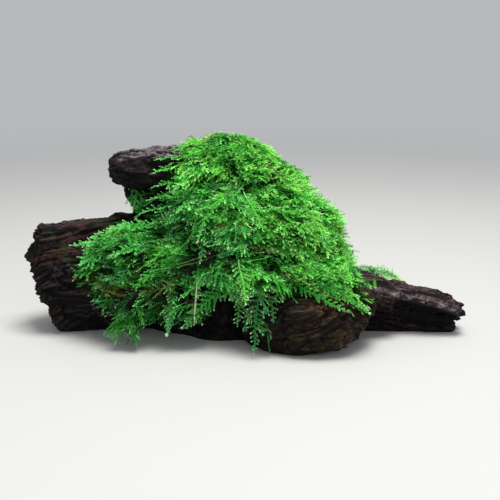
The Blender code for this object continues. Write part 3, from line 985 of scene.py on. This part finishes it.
def add_copies(growth, places, frond, tones, ageing=1.0):
    """Adds (copies, vertices, 3) places of one frond, each copy with its own tone."""
    palette, faces = frond[0][1:]
    tint = np.broadcast_to(palette, (*places.shape[:2], 2)).copy()
    # The ageing that comes from add_fronds also carries painted shade in the hollows and the gaps between
    # layers.
    tint[..., 0] *= ageing
    tint[..., 1] = tones[:, None]
    nearest = np.clip(places, np.array(cad_low) - STRAY, np.array(cad_high) + STRAY)
    places = places + 0.6 * (nearest - places)
    places[..., 2] = np.maximum(places[..., 2], cad_low.z + 0.2 * MM)
    growth.add_copies(places, tint, faces)


def add_fronds(growth, kinds, tips, normals, tones, rng, droop, size, ageing=1.0):
    """One frond of a random kind at each tip. What would stand up too far over the mound bends over."""
    chosen = rng.integers(0, len(kinds), len(tips))
    for kind, frond in enumerate(kinds):
        mine = np.flatnonzero(chosen == kind)
        scale = size * (0.75 + 0.5 * rng.random(len(mine)))
        lines, sides = growing_lines(tips[mine], normals[mine], scale * frond[1] * MM, rng, droop)
        places = laid_along(frond, lines / (scale[:, None, None] * MM), sides)
        places *= scale[:, None, None] * MM
        roof = np.interp(places[..., 0] / MM, OUTLINE[:, 0], OUTLINE[:, 1])
        roof = (roof + rng.uniform(-2.0, 1.2, (len(mine), 1))) * MM
        places[..., 2] -= 0.75 * np.maximum(places[..., 2] - roof, 0)
        places, fresh_unshaded = settled(places)
        add_copies(growth, places, frond, tones[mine], ageing * fresh_unshaded)


def add_trained(growth, path, tone, side=(1, 0, 0), **shape):
    """A frond that follows a path of (x, y, z) in millimetres, with its side shoots towards side."""
    path = np.array(path, float)
    lengths = lengths_along(path)
    line = read_at(np.linspace(0, lengths[-1], 4 * len(path)), lengths, path)
    for _ in range(3):
        line[1:-1] = 0.25 * line[:-2] + 0.5 * line[1:-1] + 0.25 * line[2:]
    frond = grow_frond(length=lengths[-1], **shape)
    places = laid_along(frond, line[None], np.array([side], float))
    add_copies(growth, places * MM, frond, np.array([tone]))


def grow_clump(node, seed, outer, inner, whips, brightness, droop=0.3, mat=True, size=1.0, gaps=0.7,
               sparse_below=0.0, inner_age=0.62, clearance=4.0, filled=(), trained=()):
    """A clump's mesh, which stands for its CAD node, with this many fronds of each kind.

    Filled are the (spot, radius, fronds) that are grown over, and trained the shoots with their own path."""
    rng = np.random.default_rng(seed)
    growth = Growth()
    if mat:
        add_mat(growth, node)
    tips, normals = open_surface_points(node, outer, rng, clearance * MM, gaps, sparse_below)
    tones = tone_at(tips, rng, brightness) - LOW_SHADE * (tips[:, 2] < sparse_below * MM)
    stand = 2.0 * shelves_at(tips) - 1.1 + rng.normal(0, 0.8, outer)
    tips = tips + normals * (stand * MM)[:, None]
    add_fronds(growth, FRONDS, tips, normals, tones, rng, droop, size)
    if inner:
        tips, normals = open_surface_points(node, inner, rng, clearance * MM)
        tips = tips - normals * (rng.uniform(*INNER_SINK, inner) * MM)[:, None]
        tones = tone_at(tips, rng, brightness - INNER_SHADE) - LOW_SHADE * (tips[:, 2] < sparse_below * MM)
        add_fronds(growth, INNER, tips, normals, tones, rng, droop, size, inner_age)
    if whips:
        tips, normals = open_surface_points(node, whips, rng, WHIP_CLEARANCE)
        tips = tips + normals * (rng.uniform(*WHIP_STAND, whips) * MM)[:, None]
        add_fronds(growth, WHIPS, tips, normals, tone_at(tips, rng, brightness), rng, 0.5 * droop, size)
    for spot, radius, count in filled:
        tips, normals = open_surface_points(node, count, rng, FILLED_CLEARANCE, patch=(spot, radius))
        tips = tips + normals * (rng.uniform(*FILLED_STAND, count) * MM)[:, None]
        tones = tone_at(tips, rng, brightness - FILLED_SHADE)
        add_fronds(growth, INNER, tips, normals, tones, rng, droop, size, inner_age)
    for shape in trained:
        add_trained(growth, **shape)
    made = moss_object(node + "_shoots", growth)
    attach(made, "root")
    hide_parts(node)


def shoot(seed, tone, reach, pitch, *path, **own):
    """What add_trained is told: a tone, the side shoots' reach and pitch, and the path, in millimetres."""
    return dict(own, seed=seed, tone=tone, reach=reach, pitch=pitch, path=path)


# Short shoots spill from the crown over the stub's top: where each starts along the crown's edge, how
# far it reaches over the wood and how far it turns aside, in millimetres.
SPILL = [
    (-9, 1.5, -1), (-6.5, 0.4, 0.8), (-3, 2.6, -1.2), (0.5, 0.8, 0.5),
    (4, 3, -0.8), (7, 1, 1), (9.5, 2.4, -1), (12.5, 1.4, 0.6),
]
# The crown caps the top of the wood, with three small tufts that stand up out of it.
grow_clump("moss_crown", 11, 400, 220, 40, brightness=0.76, gaps=0.45, inner_age=0.8, filled=[
    ((28, 16, 71), 10, 26),
    ((21, 5, 79), 7, 12),
], trained=[
    shoot(501, 0.8, 3, 2, (-26, -5, 86), (-27.3, -7, 92), (-27.1, -8.5, 97.4)),
    shoot(502, 0.75, 2.6, 2.2, (-30, -6, 85), (-30.5, -8, 90), (-31.5, -9, 94.5)),
    shoot(503, 0.85, 3.2, 2, (-16, 4, 86), (-15.5, 4.5, 93), (-14.7, 5, 98)),
    shoot(504, 0.8, 3, 2.1, (-19, 2, 86), (-19.5, 2, 92), (-18.3, 2, 96.8)),
    shoot(505, 0.75, 3, 2.2, (-9, 3, 86), (-6.5, 3, 92), (-4.5, 3, 95.8)),
    shoot(506, 0.5, 2.4, 2.6, (-28, -11, 88.5), (-38, -14, 88.8), (-45, -14.5, 87.3), side=(0.2, 1, 0.2),
          pale=0.9),
    shoot(507, 0.55, 3, 2.4, (-30, -13, 85), (-40, -16, 83.4), (-46.4, -17, 81.2), side=(0.2, 1, 0.4),
          pale=0.9),
] + [
    shoot(560 + i, 0.48, 2, 1.8, (-27, y, 92), (-33, y + 0.4 * turn, 91.8), (-35 - reach, y + turn, 91),
          side=(0.1, 1, 0), pale=0.5)
    for i, (y, reach, turn) in enumerate(SPILL)
])
grow_clump("moss_right_shoulder", 12, 410, 240, 30, brightness=0.62, gaps=0.5, inner_age=0.84, filled=[
    ((35, 27, 47), 9, 24),
    ((46, 5, 50), 8, 18),
    ((43, -12, 56), 7, 14),
], trained=[
    shoot(511, 0.55, 0.9, 2.2, (38, -21, 46.5), (44, -23, 45), (51.3, -24, 42.3), leaf_size=0.7),
])
grow_clump("moss_front_face", 13, 400, 150, 55, brightness=0.54, gaps=0.8, trained=[
    shoot(516, 0.62, 2.2, 2.4, (-12, -20, 74.5), (-17.4, -32.5, 69), (-21.5, -36.5, 61.7),
          (-24, -37.5, 54), stem=0.3, stem_age=0.93, pale=0.9, bead=0.8),
    shoot(517, 0.72, 4.2, 2.3, (-3, -24, 74), (-1.4, -29, 71.4), (2.3, -34, 65.9), (6.5, -35, 58),
          stem=0.3, stem_age=0.93, pale=0.9),
    shoot(518, 0.58, 2.6, 2.2, (-3, -23, 77), (-6, -26, 74), (-9, -31, 70.5), (-11, -33.5, 66), stem=0.28,
          stem_age=0.9, pale=0.9),
    shoot(519, 0.4, 1.6, 2.4, (-22.5, -36.5, 53), (-22, -37.5, 49), (-22.8, -37.5, 44), pale=0.9,
          bead=0.6),
    shoot(521, 0.1, 0.7, 6, (-14, -33, 50), (-20, -37, 47.4), (-26, -38, 45.2), (-33, -37.5, 42.2),
          leaf_size=0.4, stem_age=0.6),
    shoot(522, 0.1, 0.7, 6, (-16, -34, 46), (-25, -37.5, 43.3), (-34, -37, 40.6), leaf_size=0.4,
          stem_age=0.6),
    shoot(523, 0.45, 2.6, 2.6, (-31, -15, 77.5), (-40, -18, 76.8), (-46, -19, 75), side=(0.2, 1, 0.3),
          pale=0.9),
    shoot(524, 0.45, 2.6, 2.4, (-33, -16, 72.5), (-42, -20, 71), (-48.5, -21, 69.2), side=(0.2, 1, 0.3),
          pale=0.9),
    shoot(525, 0.42, 2.8, 2.6, (-36, -19, 67), (-44, -22, 65.6), (-52, -23, 63), side=(0.2, 1, 0.4),
          pale=0.9),
    shoot(526, 0.35, 0.7, 4, (-37, -17, 73), (-44, -18, 69.5), (-50.5, -18, 65.6), leaf_size=0.5,
          stem_age=0.7),
])
grow_clump("moss_left_cushion", 14, 290, 120, 70, brightness=0.71, sparse_below=32.0, gaps=0.92, trained=[
    shoot(531, 0.35, 2.1, 1.9, (-35.8, -35, 33), (-36.2, -38.5, 23.2), (-37.2, -39.3, 16),
          (-38.3, -39.3, 10), pale=0.9, buds=0.2, bead=1.2),
    shoot(532, 0.42, 4.6, 2.6, (-8, -31, 33), (-17.7, -36.5, 26), (-24.5, -38, 20), (-31.2, -38.5, 13),
          side=(0.6, 0, -0.8), pale=0.9, buds=0.8, bead=0.8),
    shoot(533, 0.4, 3.4, 2.6, (-52, -25, 51), (-66, -25.5, 50.2), (-76, -25, 49.4), (-84, -24, 48.4),
          side=(0, 1, 0.5), pale=0.9, bead=0.5),
    shoot(534, 0.45, 3.6, 2.4, (-38, -24, 58.5), (-48, -25, 58.8), (-58, -25.5, 58.2), (-66, -25, 56.9),
          side=(0, 1, 0.6), pale=0.9, bead=0.5),
    shoot(535, 0.55, 3.2, 2.3, (-46, -32, 50), (-56, -35, 48.8), (-65, -36, 46.6), side=(0, 1, 0.8),
          pale=0.9),
])
grow_clump("moss_front_skirt", 15, 310, 110, 50, brightness=0.57, trained=[
    shoot(541, 0.72, 3.4, 2, (-5.2, -38, 45), (-4.3, -42.5, 40.5), (-3.1, -45, 35), (-2, -46, 27),
          stem=0.34, stem_age=0.93, pale=0.9, bead=0.8, turn=74),
    shoot(542, 0.62, 4.4, 2.4, (20, -40, 41), (33, -45.5, 35.8), (44, -47.5, 29.5), (53.5, -47.5, 22.8),
          pale=0.9, bead=0.9, side=(0.5, -0.2, 0.9), narrowing=0.5),
    shoot(543, 0.6, 4, 2.4, (16, -39, 38), (26, -45, 32), (36, -47.5, 27), (45, -47.5, 23),
          side=(0.5, -0.2, 0.9), narrowing=0.6),
])
grow_clump("moss_back_drape", 16, 400, 220, 30, brightness=0.54, gaps=0.3, inner_age=0.76,
           clearance=1.5, filled=[
    ((7, 37, 62), 9, 26),
    ((18, 35, 54), 9, 28),
    ((25, 29, 64), 8, 20),
    ((-4, 37, 73), 8, 16),
    ((10, 34, 76), 8, 14),
])
grow_clump("moss_front_tail", 17, 10, 0, 0, brightness=0.18, droop=0.9, mat=False, size=0.55, trained=[
    shoot(551, 0.26, 4.6, 2.3, (4, -42, 36), (3.4, -48, 28), (2.9, -49.3, 20), (2.3, -49.3, 12),
          (1.6, -48, 3), pale=0.9, buds=0.45, narrowing=0.5, leaf_size=0.84, turn=80),
    shoot(552, 0.2, 2.8, 2.3, (-2, -43, 33), (-4.5, -46.5, 26), (-5.2, -47.3, 20), (-5.4, -47, 16),
          pale=0.8, leaf_size=0.84, turn=74),
    shoot(553, 0.22, 2.8, 2.3, (8, -43, 34), (9.8, -46.5, 27), (10.2, -47.3, 21), (10.4, -47, 18),
          pale=0.8, leaf_size=0.84, turn=74),
])
grow_clump("moss_left_trail", 18, 26, 10, 4, brightness=0.72, droop=0.8, mat=False, size=0.65)
grow_clump("moss_arm_tuft", 19, 40, 14, 4, brightness=0.55, mat=False, size=0.55, gaps=0.0)


# A dry bare stalk is caught in the moss and hangs down in front of the wood.
STALK_PATH = [(-24.4, -34.5, 36.0), (-24.8, -37.2, 30.0), (-25.5, -38.2, 22.0), (-26.1, -38.6, 13.6)]
STALK_RADIUS = 0.42


def stalk_finish():
    """Dry beige stem with darker fibres along it."""
    material, n, shader = new_material("dry_stalk")
    place = n.add("ShaderNodeTexCoord").outputs["Object"]
    stretched = n.add("ShaderNodeMapping", Vector=place, Scale=(1.0, 1.0, 0.12)).outputs[0]
    fibres = n.noise(stretched, 2600.0, detail=3.0)
    colour = n.ramp(fibres, [(0.3, (0.42, 0.3, 0.19)), (0.72, (0.8, 0.68, 0.5))])
    n.fill(shader, Base_Color=colour, Roughness=0.7, Normal=n.bump(fibres, 0.3, 0.2 * MM))
    return material


bpy.ops.object.select_all(action="DESELECT")
bpy.ops.mesh.primitive_cylinder_add(vertices=10, radius=STALK_RADIUS * MM, depth=0.4 * MM, location=(0, 0, 0))
stalk = bpy.context.object
stalk.name = "dry_stalk"
bpy.ops.object.mode_set(mode="EDIT")
# The bottom cap is drawn down the path, one stretch at a time, and then narrowed to a broken tip.
shape = bmesh.from_edit_mesh(stalk.data)
for vertex in shape.verts:
    vertex.co += Vector(STALK_PATH[0]) * MM
for face in shape.faces:
    face.select = face.normal.z < -0.9
bmesh.update_edit_mesh(stalk.data)
for before, after in zip(STALK_PATH, STALK_PATH[1:]):
    step = (np.array(after) - np.array(before)) * MM
    bpy.ops.mesh.extrude_region_move(TRANSFORM_OT_translate={"value": tuple(step)})
bpy.ops.transform.resize(value=(0.6, 0.6, 1.0), center_override=tuple(np.array(STALK_PATH[-1]) * MM))
bpy.ops.mesh.select_all(action="SELECT")
bpy.ops.mesh.normals_make_consistent(inside=False)
bpy.ops.object.mode_set(mode="OBJECT")
bpy.ops.object.shade_smooth_by_angle(angle=math.radians(50))
stalk.data.materials.append(stalk_finish())
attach(stalk, "root")
